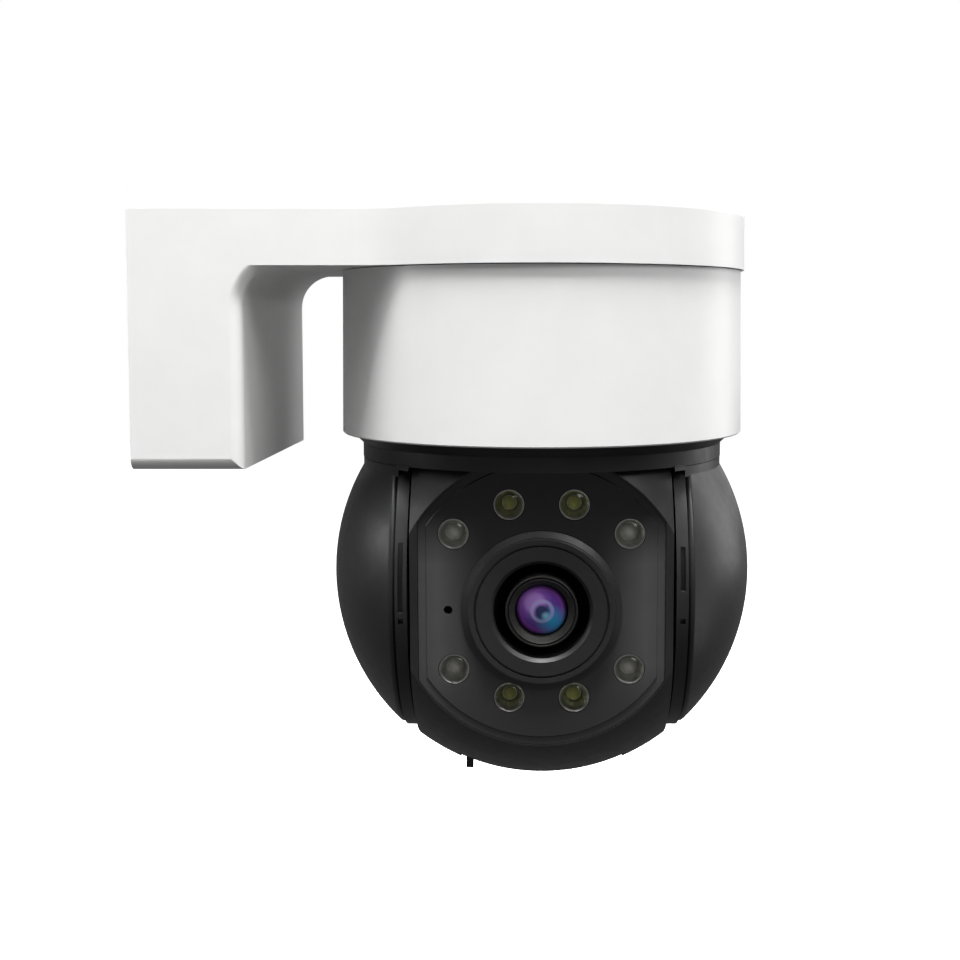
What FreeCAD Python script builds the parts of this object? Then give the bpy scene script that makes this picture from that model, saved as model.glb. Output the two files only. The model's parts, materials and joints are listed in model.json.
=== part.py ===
import FreeCAD, Part
import math
import os

# Wall-mounted pan-tilt camera. Millimetres, +Z up.
# The origin is the centre of the flat face that stands on the wall, +X points away from the wall,
# and the lens looks along -Y at rest.

# ---- driving dimensions ----
PAN_X = 88.9            # pan axis to wall
BALL_Z = -58.2          # tilt axis height
BALL_R = 50.0           # outer sphere of the two ears
HEAD_R = 49.4           # sphere of the tilting head
HEAD_HALF = 28.6        # half width of the tilting head between its two flat sides
HEAD_WALL = 2.2
FRONT_D = 37.4          # flat front of the head, from the tilt axis
REST_TILT = 1.9         # the head hangs this many degrees nose down at rest
PARTING_Y = 14.5        # parting plane between front and rear head shells

# bracket
HALF_W = 36.0           # half width of leg and arm
LEG_T = 24.2            # leg thickness, out from the wall
LEG_Z = 30.9            # half height of the leg
ARM_Z = 13.3            # underside of arm and cap
CAP_R = 48.5
BLEND_R = 20.0          # plan blend from arm to cap
TOP_FILLET = 5.5
EDGE_FILLET = 2.5
INNER_FILLET = 8.5      # between leg and arm
SHELL_T = 2.8
REBATE_X = 3.2          # depth of the recess for wall plate and gasket
LIP_T = 2.0

# wall plate, its screws and the cable's way out
PLATE_T = 2.0
TAB_Z = 25.7            # outer face of the tab and the two hooks
TAB_T = 1.8
LOCK_X = 9.0
LOCK_Y = 14.0
WALL_HOLE_Y = 23.0
WALL_HOLE_Z = 17.0
WALL_HOLE_R = 2.3
GROMMET_R = 8.0
CABLE_Z = -13.0         # the cable leaves below the wall face's centre
CABLE_R = 3.6
SCREW_R = 1.5

# base housing
HOUSE_TOP_R = 47.7
HOUSE_LOW_R = 48.0
HOUSE_IN_R = 45.6
HOUSE_LOW_Z = -25.0
HOUSE_TOP_Z = 13.1
SPIGOT_OUT_R = 45.3     # collar of the housing that stands inside the cap
SPIGOT_IN_R = 43.6
SPIGOT_H = 3.4
SEAL_R = 46.9           # outer wall of the seam seal's groove
SEAL_DROP = 0.6
LUG_RADIUS = 40.5       # housing lugs and cap bosses, from the pan axis
LUG_TOP_Z = 12.9
BOARD_Z = 20.5          # lower face of the main board
BOARD_T = 1.6

# pan drive
PAN_MODULE = 0.8
PAN_TEETH = 60
PAN_PINION_TEETH = 12
PAN_GEAR_Z = -5.4
PAN_GEAR_H = 4.0
HUB_R = 6.8
HUB_BORE_R = 4.6
CHASSIS_Z = 0.0
CHASSIS_T = 2.5
MOTOR_R = 12.0
MOTOR_H = 15.0
MOTOR_EAR = 15.5
CIRCLIP_Z = CHASSIS_Z + CHASSIS_T + 1.5
RUNNING = 0.06          # radial running fit
PAN_CENTRES = PAN_MODULE * (PAN_TEETH + PAN_PINION_TEETH) / 2 + 0.1

# yoke
RING_R = 43.2
RING_LOW_Z = -30.7
FLARE_R = 45.2
FLARE_LOW_Z = -27.4
FLARE_TOP_Z = -25.5
PLATE_IN = 29.2         # yoke plates, from the pan axis
PLATE_OUT = 31.8
PLATE_R = 38.3
BOWL_IN = 50.2
BOWL_OUT = 52.2
EAR_WALL = 2.0
EAR_LIP = 0.9           # rounding of the ears' front edge
EAR_NECK_R = 43.1       # upright neck where the ears meet the ring
EAR_NECK_H = 2.4
EAR_REACH = 60.0        # further out than any ear
SLOT_X = 30.6           # middle of the snap slots in the plates' rims
SLOT_HALF = 0.55
SNAP_SLOTS_RIGHT = ((16.7, 17.9), (1.2, 10.7), (-6.0, -4.8))
SNAP_SLOTS_LEFT = ((16.7, 17.9), (-3.6, 15.4), (-6.0, -4.8))

# tilt drive, placed along X from the pan axis
TILT_MODULE = 0.5
TILT_TEETH = 52
TILT_PINION_TEETH = 10
TILT_GEAR_X = 41.8
TILT_GEAR_T = 2.0
TILT_SHAFT_R = 3.0
PIVOT_R = 4.5
TILT_MOTOR_R = 9.0
TILT_MOTOR_EAR = 11.0
TILT_CENTRES = TILT_MODULE * (TILT_TEETH + TILT_PINION_TEETH) / 2 + 0.08

# head front, placed from the lens axis; distances along the lens axis count from the tilt axis
WINDOW_R = 31.9
WINDOW_HALF = 26.8
WINDOW_T = 1.6
WINDOW_BORDER = 1.7     # the window's rim is this wide and stands a step lower
WINDOW_STEP = 0.25
LENS_Z = -1.8           # the lens axis runs below the middle of the window
COLLAR_R = 16.7
COLLAR_FOOT_R = 17.45
COLLAR_FRONT = 39.0
COLLAR_EDGE_R = 15.95   # where the collar's face begins to slope back
GROOVE_R = 14.7
GROOVE_DEPTH = 0.65
WELL_R = 10.45
BARREL_R = 7.87
BARREL_FRONT = 38.9
BARREL_TUBE_R = 6.0     # threaded part of the barrel, in the holder
LENS_SEAT_D = 36.0
RETAINER_R = 7.15
GLASS_R = 5.78
ELEMENT_R = 4.8         # the two smaller lenses
LED_R = 3.4
LED_TIP = 37.8
LED_CAP_H = 1.5
LED_INNER = (7.06, 21.3)
LED_OUTER = (19.07, 14.96)
LED_BOARD_D = 33.0      # front face of the lamp board
MIC_X = -20.3
FILTER_D = 13.6
FILTER_T = 0.6

# inside and behind the head
REAR_SCREW_X = 20.0
REAR_SCREW_Z = 24.0
REAR_HEAD_Y = 27.0
SPEAKER_Y = 36.0
RESET_X = 12.0
RESET_Y = -4.0

# card door under the ball
DOOR_HALF = 18.8
DOOR_FROM = 60.0        # degrees below the lens axis, front edge
DOOR_TO = 102.0
DOOR_GAP = 0.35
HINGE_ANGLE = 104.6
HINGE_RADIUS = 48.2
KNUCKLE_R = 1.2
KNUCKLE_HALF = 13.0
PIN_R = 0.6
TAB_X = -16.9           # the pull tab

V = FreeCAD.Vector
X_AXIS = V(1, 0, 0)
Y_AXIS = V(0, 1, 0)
Z_AXIS = V(0, 0, 1)
BALL = V(PAN_X, 0, BALL_Z)
QUARTERS = (45, 135, 225, 315)
NEAR = 1e-3             # two lengths closer than this count as equal
MIRRORS = (-1, 1)
REAR_SCREWS = [(sx * REAR_SCREW_X, sz * REAR_SCREW_Z) for sz in MIRRORS for sx in MIRRORS]
BOARD_MARKS = [(sx * 17.0, sz * 21.0) for sz in MIRRORS for sx in MIRRORS]


# ---- small helpers ----
def box(x0, x1, y0, y1, z0, z1):
    return Part.makeBox(x1 - x0, y1 - y0, z1 - z0, V(x0, y0, z0))


def ball_box(x0, x1, y0, y1, z0, z1):
    """A box given from the ball's centre."""
    return box(PAN_X + x0, PAN_X + x1, y0, y1, BALL_Z + z0, BALL_Z + z1)


def rod(radius, start, end):
    """A solid cylinder between two points."""
    line = end - start
    return Part.makeCylinder(radius, line.Length, start, line)


def pan_rod(radius, z0, z1, x=0.0, y=0.0):
    """An upright cylinder placed from the pan axis."""
    return rod(radius, V(PAN_X + x, y, z0), V(PAN_X + x, y, z1))


def side_rod(radius, x0, x1, y=0.0, z=0.0):
    """A cylinder along X placed from the ball's centre."""
    return rod(radius, BALL + V(x0, y, z), BALL + V(x1, y, z))


def front_rod(radius, d0, d1, x=0.0, z=0.0):
    """A cylinder that points out of the head's front; d counts forward from the tilt axis."""
    return rod(radius, BALL + V(x, -d0, z), BALL + V(x, -d1, z))


def lens_rod(radius, d0, d1, x=0.0, z=0.0):
    """The same, placed from the lens axis."""
    return front_rod(radius, d0, d1, x, LENS_Z + z)


def lens_box(x0, x1, d0, d1, z0, z1):
    """A box placed from the lens axis; d counts forward from the tilt axis."""
    return ball_box(x0, x1, -d1, -d0, LENS_Z + z0, LENS_Z + z1)


def ball(radius):
    return Part.makeSphere(radius, BALL)


def turned(points, origin, to_point, axis):
    """Spin a closed outline of (radius, distance) points about an axis through origin."""
    corners = [origin + to_point(r, d) for r, d in points]
    wire = Part.makePolygon(corners + [corners[0]])
    return Part.Face(wire).revolve(origin, axis, 360)


def pan_turned(points):
    return turned(points, V(PAN_X, 0, 0), lambda r, z: V(r, 0, z), Z_AXIS)


def lens_turned(points):
    return turned(points, BALL + V(0, 0, LENS_Z), lambda r, d: V(r, -d, 0), Y_AXIS)


def around(radius, angles):
    """Pairs of coordinates on a circle, at angles in degrees."""
    return [(radius * math.cos(math.radians(a)), radius * math.sin(math.radians(a))) for a in angles]


def span(side, near, far):
    """Low and high X of something between two distances on one side of the pan axis."""
    return sorted((side * near, side * far))


BOARD_POSTS = around(30.0, (30, 150, 270))
EAR_SCREWS = around(30.0, (185, 270, 355))


def cut_all(shape, tools):
    for tool in tools:
        shape = shape.cut(tool)
    return shape


def join(shapes):
    first = shapes[0]
    return first.fuse(shapes[1:]).removeSplitter() if len(shapes) > 1 else first


def tilted(shape):
    """Turn a piece of the head, drawn level, to its rest angle."""
    turned_shape = shape.copy()
    turned_shape.rotate(BALL, X_AXIS, REST_TILT)
    return turned_shape


def save(name, shape):
    shape.exportStep("parts/" + name + ".step")
    print(name, len(shape.Solids), round(shape.Volume, 1), shape.isValid())


def save_head(name, shape):
    save(name, tilted(shape))


# ---- gears ----
def involute(base_r, radius):
    """Angle turned by an involute when it has reached a radius."""
    roll = math.sqrt(max((radius / base_r) ** 2 - 1, 0.0))
    return roll - math.atan(roll)


def gear_outline(module, teeth, backlash=0.12):
    """Corner points (radius, angle) of an involute spur gear, tooth 0 centred on angle 0."""
    pitch_r = module * teeth / 2
    base_r = pitch_r * math.cos(math.radians(20))
    tip_r = pitch_r + module * 0.95
    root_r = pitch_r - module * 1.25
    half_tooth = (math.pi * module / 2 - backlash) / (2 * pitch_r) + involute(base_r, pitch_r)
    low_r = max(base_r, root_r)
    radii = [low_r + (tip_r - low_r) * k / 4 for k in range(5)]
    points = []
    for tooth in range(teeth):
        centre = 2 * math.pi * tooth / teeth
        rise = [(r, centre - half_tooth + involute(base_r, r)) for r in radii]
        fall = [(r, centre + half_tooth - involute(base_r, r)) for r in reversed(radii)]
        points += [(root_r, rise[0][1])] + rise + fall + [(root_r, fall[-1][1])]
    return points


def gear(module, teeth, start, axis, across, height, turn=0.0):
    """A spur gear whose tooth 0 points along 'across', turned by 'turn' radians about its axis."""
    other = axis.cross(across)
    corners = []
    for radius, angle in gear_outline(module, teeth):
        arm = across * (radius * math.cos(angle + turn)) + other * (radius * math.sin(angle + turn))
        corners.append(start + arm)
    return Part.Face(Part.makePolygon(corners + [corners[0]])).extrude(axis * height)


# ---- bracket ----
def plan_outline(half_w, cap_r, blend_r, x0):
    """Arm and cap seen from above: straight sides, hollow blends and the round cap."""
    reach = math.sqrt((cap_r + blend_r) ** 2 - (half_w + blend_r) ** 2)
    scale = cap_r / (cap_r + blend_r)

    def blend(side):
        centre = V(PAN_X - reach, side * (half_w + blend_r), 0)
        on_arm = V(PAN_X - reach, side * half_w, 0)
        on_cap = V(PAN_X - reach * scale, side * (half_w + blend_r) * scale, 0)
        middle = (on_arm + on_cap) * 0.5 - centre
        return on_arm, centre + middle.normalize() * blend_r, on_cap

    arm_a, mid_a, cap_a = blend(-1)
    arm_b, mid_b, cap_b = blend(1)
    start_a = V(x0, -half_w, 0)
    start_b = V(x0, half_w, 0)
    edges = [
        Part.LineSegment(start_a, arm_a).toShape(),
        Part.Arc(arm_a, mid_a, cap_a).toShape(),
        Part.Arc(cap_a, V(PAN_X + cap_r, 0, 0), cap_b).toShape(),
        Part.Arc(cap_b, mid_b, arm_b).toShape(),
        Part.LineSegment(arm_b, start_b).toShape(),
        Part.LineSegment(start_b, start_a).toShape(),
    ]
    return Part.Face(Part.Wire(edges))


def side_prism(x_leg, z_arm, fillet, half_y):
    """The space right of the leg and under the arm, as a prism across Y."""
    low = -LEG_Z - 10
    far = PAN_X + CAP_R + 20
    slope = fillet * (1 - math.sqrt(0.5))
    corner_low = V(x_leg, -half_y, z_arm - fillet)
    corner_mid = V(x_leg + slope, -half_y, z_arm - slope)
    corner_top = V(x_leg + fillet, -half_y, z_arm)
    edges = [
        Part.LineSegment(V(x_leg, -half_y, low), corner_low).toShape(),
        Part.Arc(corner_low, corner_mid, corner_top).toShape(),
        Part.LineSegment(corner_top, V(far, -half_y, z_arm)).toShape(),
        Part.LineSegment(V(far, -half_y, z_arm), V(far, -half_y, low)).toShape(),
        Part.LineSegment(V(far, -half_y, low), V(x_leg, -half_y, low)).toShape(),
    ]
    return Part.Face(Part.Wire(edges)).extrude(V(0, 2 * half_y, 0))


def middle_of(edge):
    return edge.valueAt((edge.FirstParameter + edge.LastParameter) / 2)


def edges_where(shape, test):
    """Edges whose every sampled point passes a test."""
    return [edge for edge in shape.Edges if all(test(p) for p in edge.discretize(5))]


def bracket_outer():
    plan = plan_outline(HALF_W, CAP_R, BLEND_R, 0)
    top = plan.extrude(V(0, 0, LEG_Z - ARM_Z))
    top.translate(V(0, 0, ARM_Z))
    leg = box(0, PAN_X, -HALF_W, HALF_W, -LEG_Z, LEG_Z).cut(
        side_prism(LEG_T, ARM_Z, INNER_FILLET, HALF_W + 5))
    on_sides = [e for e in edges_where(leg, lambda p: abs(abs(p.y) - HALF_W) < NEAR)
                if NEAR < middle_of(e).x < PAN_X - NEAR and middle_of(e).z < ARM_Z + NEAR]
    leg = leg.makeFillet(EDGE_FILLET, on_sides)
    shell = leg.fuse(top).removeSplitter()
    rim = [e for e in edges_where(shell, lambda p: abs(p.z - LEG_Z) < NEAR) if middle_of(e).x > NEAR]
    return shell.makeFillet(TOP_FILLET, rim)


def bracket_shell():
    shape = bracket_outer()
    in_y = HALF_W - SHELL_T
    in_z = LEG_Z - 3.0
    hollows = [
        box(REBATE_X + LIP_T, LEG_T - SHELL_T, -in_y, in_y, -in_z, in_z),
        box(LEG_T - SHELL_T - 1, PAN_X, -in_y, in_y, ARM_Z + SHELL_T, in_z),
        pan_rod(CAP_R - SHELL_T, ARM_Z - 1, in_z),
        box(-1, REBATE_X, -in_y - 0.3, in_y + 0.3, -in_z + 0.3, in_z - 0.3),
        box(-1, REBATE_X + LIP_T + 1, -in_y + LIP_T, in_y - LIP_T, -in_z + LIP_T, in_z - LIP_T),
    ]
    shape = cut_all(shape, hollows)
    bosses = [pan_rod(3.0, ARM_Z, LEG_Z - 2.0, x, y) for x, y in around(LUG_RADIUS, QUARTERS)]
    posts = [pan_rod(2.6, BOARD_Z + BOARD_T, LEG_Z - 2.0, x, y) for x, y in BOARD_POSTS]
    screw_seats = [rod(3.6, V(LOCK_X, side * LOCK_Y, -LEG_Z + 1), V(LOCK_X, side * LOCK_Y, -TAB_Z - 0.1))
                   for side in MIRRORS]
    shape = join([shape] + bosses + posts + screw_seats)
    holes = [pan_rod(SCREW_R, ARM_Z - 1, ARM_Z + 10, x, y) for x, y in around(LUG_RADIUS, QUARTERS)]
    holes += [pan_rod(1.0, BOARD_Z, BOARD_Z + 5.2, x, y) for x, y in BOARD_POSTS]
    for side in MIRRORS:
        foot = V(LOCK_X, side * LOCK_Y, -LEG_Z - 1)
        holes.append(rod(1.7, foot, foot + V(0, 0, 12)))
        holes.append(rod(3.2, foot, foot + V(0, 0, 2.6)))
    return cut_all(shape, holes)


# ---- wall plate and its fastenings ----
def wall_plate():
    half_y = HALF_W - SHELL_T
    half_z = LEG_Z - 3.6
    shape = box(0, PLATE_T, -half_y, half_y, -half_z, half_z)
    low_tab = box(PLATE_T - 0.5, 14, -20, 20, -TAB_Z, -TAB_Z + TAB_T)
    hooks = []
    tips = []
    for side in MIRRORS:
        y0, y1 = span(side, 8, 16)
        hooks.append(box(PLATE_T - 0.5, 9, y0, y1, TAB_Z - TAB_T, TAB_Z))
        tips.append(box(6.5, 9, y0, y1, TAB_Z - TAB_T, TAB_Z + 1.8))
    shape = join([shape, low_tab] + hooks + tips)
    holes = [rod(GROMMET_R, V(-1, 0, CABLE_Z), V(4, 0, CABLE_Z))]
    for y_side in MIRRORS:
        for z_side in MIRRORS:
            centre = V(-1, y_side * WALL_HOLE_Y, z_side * WALL_HOLE_Z)
            holes.append(rod(WALL_HOLE_R, centre, centre + V(4, 0, 0)))
        holes.append(rod(SCREW_R, V(LOCK_X, y_side * LOCK_Y, -TAB_Z - 1),
                         V(LOCK_X, y_side * LOCK_Y, -TAB_Z + 4)))
    return cut_all(shape, holes)


def wall_gasket():
    half_y = HALF_W - SHELL_T
    half_z = LEG_Z - 3.6
    outer = box(PLATE_T, REBATE_X, -half_y, half_y, -half_z, half_z)
    return outer.cut(box(0, 5, -half_y + 1.8, half_y - 1.8, -half_z + 1.4, half_z - 1.4))


def cable_grommet():
    neck = rod(GROMMET_R, V(0.3, 0, CABLE_Z), V(PLATE_T, 0, CABLE_Z))
    flange = rod(GROMMET_R + 1.4, V(PLATE_T, 0, CABLE_Z), V(PLATE_T + 1.4, 0, CABLE_Z))
    return join([neck, flange]).cut(rod(CABLE_R, V(-1, 0, CABLE_Z), V(6, 0, CABLE_Z)))


def lock_screws():
    screws = []
    for side in MIRRORS:
        foot = V(LOCK_X, side * LOCK_Y, -LEG_Z + 0.3)
        head = rod(2.9, foot, foot + V(0, 0, 1.3))
        shank = rod(SCREW_R, foot, foot + V(0, 0, 8.2))
        cross = [box(LOCK_X - a, LOCK_X + a, side * LOCK_Y - b, side * LOCK_Y + b, foot.z - 1, foot.z + 0.8)
                 for a, b in ((1.7, 0.35), (0.35, 1.7))]
        screws.append(cut_all(join([head, shank]), cross))
    return Part.makeCompound(screws)


# ---- base housing ----
def base_housing():
    wall = pan_turned([(HOUSE_IN_R, HOUSE_LOW_Z), (HOUSE_LOW_R - 0.3, HOUSE_LOW_Z),
                       (HOUSE_LOW_R, HOUSE_LOW_Z + 0.3), (HOUSE_TOP_R, HOUSE_TOP_Z),
                       (SEAL_R, HOUSE_TOP_Z), (SEAL_R, HOUSE_TOP_Z - SEAL_DROP),
                       (HOUSE_IN_R, HOUSE_TOP_Z - SEAL_DROP), (SPIGOT_OUT_R, HOUSE_TOP_Z + SPIGOT_H),
                       (SPIGOT_IN_R, HOUSE_TOP_Z + SPIGOT_H), (SPIGOT_IN_R, 8.6), (HOUSE_IN_R, 7.0)])
    lugs = [pan_rod(5.6, CHASSIS_Z + CHASSIS_T + 0.1, LUG_TOP_Z, x, y)
            for x, y in around(LUG_RADIUS, QUARTERS)]
    envelope = pan_rod(HOUSE_IN_R + 0.1, -5, LUG_TOP_Z + 1)
    lugs = [lug.common(envelope) for lug in lugs]
    shape = join([wall] + lugs)
    holes = [pan_rod(SCREW_R + 0.2, -3, LUG_TOP_Z + 2, x, y) for x, y in around(LUG_RADIUS, QUARTERS)]
    return cut_all(shape, holes)


def seam_seal():
    inner_r = HOUSE_IN_R + 0.15
    outer_r = SEAL_R - 0.1
    low = HOUSE_TOP_Z - SEAL_DROP
    return pan_turned([(inner_r, low), (outer_r, low), (outer_r, ARM_Z), (inner_r, ARM_Z)])


def housing_screws():
    screws = []
    for x, y in around(LUG_RADIUS, QUARTERS):
        head = pan_rod(2.9, CHASSIS_Z - 2.0, CHASSIS_Z, x, y)
        shank = pan_rod(SCREW_R, CHASSIS_Z - 0.5, ARM_Z + 8, x, y)
        screws.append(join([head, shank]))
    return Part.makeCompound(screws)


def pan_chassis():
    shape = pan_rod(44.6, CHASSIS_Z, CHASSIS_Z + CHASSIS_T)
    collar = pan_rod(12.5, CHASSIS_Z - 0.8, CHASSIS_Z)
    shape = join([shape, collar])
    holes = [pan_rod(10.0, -5, 5), pan_rod(3.4, -5, 5, 0, PAN_CENTRES)]
    holes += [pan_rod(SCREW_R + 0.2, -5, 5, x, y) for x, y in around(LUG_RADIUS, QUARTERS)]
    holes += [pan_rod(1.2, -5, 5, side * MOTOR_EAR, PAN_CENTRES) for side in MIRRORS]
    windows = [pan_rod(6.0, -5, 5, x, y) for x, y in around(28.0, (0, 180, 270))]
    return cut_all(shape, holes + windows)


def pan_bush():
    return pan_turned([(HUB_R + RUNNING, CHASSIS_Z - 0.8), (9.95, CHASSIS_Z - 0.8),
                       (9.95, CHASSIS_Z + CHASSIS_T), (11.6, CHASSIS_Z + CHASSIS_T),
                       (11.6, CHASSIS_Z + CHASSIS_T + 1.2), (HUB_R + RUNNING, CHASSIS_Z + CHASSIS_T + 1.2)])


def pan_motor():
    low = CHASSIS_Z + CHASSIS_T + 0.05
    body = pan_rod(MOTOR_R, low, low + MOTOR_H, 0, PAN_CENTRES)
    ears = box(PAN_X - MOTOR_EAR - 3, PAN_X + MOTOR_EAR + 3, PAN_CENTRES - 3.5, PAN_CENTRES + 3.5,
               low, low + 0.9)
    plug = box(PAN_X - 7, PAN_X + 7, PAN_CENTRES - MOTOR_R - 3, PAN_CENTRES, low + 2, low + MOTOR_H - 3)
    shape = join([body, ears, plug])
    holes = [pan_rod(2.6, low - 1, low + 6, 0, PAN_CENTRES)]
    holes += [pan_rod(1.2, low - 1, low + 2, side * MOTOR_EAR, PAN_CENTRES) for side in MIRRORS]
    return cut_all(shape, holes)


def pan_motor_screws():
    low = CHASSIS_Z + CHASSIS_T + 0.95
    screws = [join([pan_rod(2.1, low, low + 1.4, side * MOTOR_EAR, PAN_CENTRES),
                    pan_rod(1.15, CHASSIS_Z - 0.6, low + 0.5, side * MOTOR_EAR, PAN_CENTRES)])
              for side in MIRRORS]
    return Part.makeCompound(screws)


def pan_pinion():
    start = V(PAN_X, PAN_CENTRES, PAN_GEAR_Z - 0.2)
    half_step = math.pi / PAN_PINION_TEETH
    wheel = gear(PAN_MODULE, PAN_PINION_TEETH, start, Z_AXIS, V(0, -1, 0), PAN_GEAR_H + 0.4, half_step)
    shaft = pan_rod(2.5, PAN_GEAR_Z - 0.2, CHASSIS_Z + CHASSIS_T + 5, 0, PAN_CENTRES)
    return join([wheel, shaft])


def pan_gear():
    start = V(PAN_X, 0, PAN_GEAR_Z)
    wheel = gear(PAN_MODULE, PAN_TEETH, start, Z_AXIS, Y_AXIS, PAN_GEAR_H)
    holes = [pan_rod(HUB_R + 0.02, -20, 20)]
    holes += [pan_rod(3.4, -20, 20, x, y) for x, y in around(15.5, (30, 90, 150, 210, 270, 330))]
    return cut_all(wheel, holes)


def pan_circlip():
    ring = pan_rod(9.6, CIRCLIP_Z, CIRCLIP_Z + 1.0).cut(pan_rod(HUB_R - 0.55, 0, 10))
    return ring.cut(box(PAN_X + 3, PAN_X + 12, -2.2, 2.2, 0, 10))


def main_board():
    shape = pan_rod(36.0, BOARD_Z, BOARD_Z + BOARD_T)
    return cut_all(shape, [pan_rod(1.2, 15, 30, x, y) for x, y in BOARD_POSTS])


def board_parts():
    top = BOARD_Z + BOARD_T
    chips = [
        box(PAN_X - 9, PAN_X + 5, -7, 7, top, top + 1.4),
        box(PAN_X + 9, PAN_X + 18, -6, 4, top, top + 1.1),
        box(PAN_X - 31, PAN_X - 15, -9, 7, top, top + 5.0),
        box(PAN_X + 2, PAN_X + 8, 12, 22, top, top + 4.2),
        box(PAN_X - 12, PAN_X - 2, -24, -14, top, top + 3.0),
    ]
    cans = [pan_rod(3.0, top, top + 5.2, x, y) for x, y in around(25.0, (310, 335, 5))]
    return Part.makeCompound(chips + cans)


def board_screws():
    screws = []
    for x, y in BOARD_POSTS:
        head = pan_rod(2.0, BOARD_Z - 1.3, BOARD_Z, x, y)
        screws.append(join([head, pan_rod(1.0, BOARD_Z - 0.5, BOARD_Z + 5, x, y)]))
    return Part.makeCompound(screws)


def radio_antenna():
    return box(30, 44, -28, -18, LEG_Z - 3.5, LEG_Z - 3.05)


# ---- yoke ----
def yoke_plate(side):
    x0, x1 = span(side, PLATE_IN, PLATE_OUT)
    disc = side_rod(PLATE_R, x0, x1)
    web = ball_box(x0, x1, -60, 60, RING_LOW_Z - 0.8 - BALL_Z, 60).common(ball(BOWL_OUT - 0.8))
    slots = SNAP_SLOTS_RIGHT if side > 0 else SNAP_SLOTS_LEFT
    s0, s1 = span(side, SLOT_X - SLOT_HALF, SLOT_X + SLOT_HALF)
    cuts = [ball_box(s0, s1, -PLATE_R - 1, -PLATE_R + 1.8, z0, z1) for z0, z1 in slots]
    return cut_all(join([disc, web]), cuts)


def yoke_frame():
    ring = pan_turned([(20, RING_LOW_Z), (RING_R, RING_LOW_Z), (RING_R, FLARE_LOW_Z),
                       (FLARE_R, FLARE_TOP_Z), (FLARE_R, -21.0), (20, -21.0)])
    dome = ball(BOWL_OUT).common(pan_rod(60, -24, 10))
    hub = join([pan_rod(12.0, -12, PAN_GEAR_Z), pan_rod(HUB_R, -12, 9.0)])
    groove = pan_rod(HUB_R + 1, CIRCLIP_Z - 0.03, CIRCLIP_Z + 1.03).cut(pan_rod(HUB_R - 0.6, 0, 20))
    trough = pan_rod(43.4, -26.5, 0).cut(pan_rod(40.9, -27, 1))
    shape = join([ring, dome, hub])
    shape = cut_all(shape, [ball(BOWL_IN), groove, trough, pan_rod(HUB_BORE_R, -20, 20)])
    shape = join([shape, yoke_plate(-1), yoke_plate(1)])
    holes = [side_rod(7.0, -34, -28), side_rod(5.0, 28, 34)]
    for side in MIRRORS:
        for y, z in EAR_SCREWS:
            holes.append(side_rod(1.2, *span(side, 28, 34), y, z))
            holes.append(side_rod(2.3, *span(side, 28, PLATE_IN + 1.3), y, z))
    holes += [side_rod(0.95, 28, 34, y_side * TILT_MOTOR_EAR, -TILT_CENTRES) for y_side in MIRRORS]
    return cut_all(shape, holes)


def ear_cover(side):
    face = PLATE_OUT + 0.02
    top = RING_LOW_Z - 0.15 - BALL_Z
    x0, x1 = span(side, face, EAR_REACH)
    outer = ball(BALL_R).common(ball_box(x0, x1, -60, 60, -60, top))
    on_face = edges_where(outer, lambda p: abs(abs(p.x - PAN_X) - face) < NEAR)
    rim = [max(on_face, key=lambda e: e.Length)]
    outer = outer.makeFillet(EAR_LIP, rim)
    h0, h1 = span(side, PLATE_OUT - 1, EAR_REACH)
    hollow = ball(BALL_R - EAR_WALL).common(ball_box(h0, h1, -60, 60, -60, top - EAR_WALL))
    neck = pan_rod(EAR_NECK_R, BALL_Z + top - EAR_NECK_H, BALL_Z + top)
    neck = neck.common(ball_box(x0, x1, -60, 60, -60, 60))
    bosses = [side_rod(2.7, x0, x1, y, z).common(ball(BALL_R - 0.8)) for y, z in EAR_SCREWS]
    shape = join([outer.fuse(neck).cut(hollow)] + bosses)
    s0, s1 = span(side, PLATE_OUT - 1, PLATE_OUT + 4.5)
    return cut_all(shape, [side_rod(1.1, s0, s1, y, z) for y, z in EAR_SCREWS])


def ear_screws():
    screws = []
    for side in MIRRORS:
        for y, z in EAR_SCREWS:
            head = side_rod(2.2, *span(side, PLATE_IN + 0.2, PLATE_IN + 1.3), y, z)
            shank = side_rod(1.1, *span(side, PLATE_IN + 0.8, PLATE_OUT + 4.0), y, z)
            screws.append(join([head, shank]))
    return Part.makeCompound(screws)


def tilt_bush(side, bore_r, outer_r, flange_r):
    sleeve = side_rod(outer_r, *span(side, PLATE_IN, PLATE_OUT + 2.0))
    flange = side_rod(flange_r, *span(side, PLATE_OUT, PLATE_OUT + 1.2))
    return join([sleeve, flange]).cut(side_rod(bore_r + RUNNING, -60, 60))


def tilt_motor():
    start = PLATE_OUT + 0.05
    body = side_rod(TILT_MOTOR_R, start, TILT_GEAR_X - 0.9, 0, -TILT_CENTRES)
    ears = ball_box(start, start + 0.9, -TILT_MOTOR_EAR - 2.2, TILT_MOTOR_EAR + 2.2,
                    -TILT_CENTRES - 2.2, -TILT_CENTRES + 2.2)
    shape = join([body, ears])
    holes = [side_rod(1.05, TILT_GEAR_X - 5, TILT_GEAR_X, 0, -TILT_CENTRES)]
    holes += [side_rod(0.95, start - 1, start + 2, y_side * TILT_MOTOR_EAR, -TILT_CENTRES)
              for y_side in MIRRORS]
    return cut_all(shape, holes)


def tilt_motor_screws():
    start = PLATE_OUT + 0.95
    screws = []
    for y_side in MIRRORS:
        y = y_side * TILT_MOTOR_EAR
        screws.append(join([side_rod(1.6, start, start + 1.0, y, -TILT_CENTRES),
                            side_rod(0.9, PLATE_IN + 0.5, start + 0.5, y, -TILT_CENTRES)]))
    return Part.makeCompound(screws)


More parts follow.
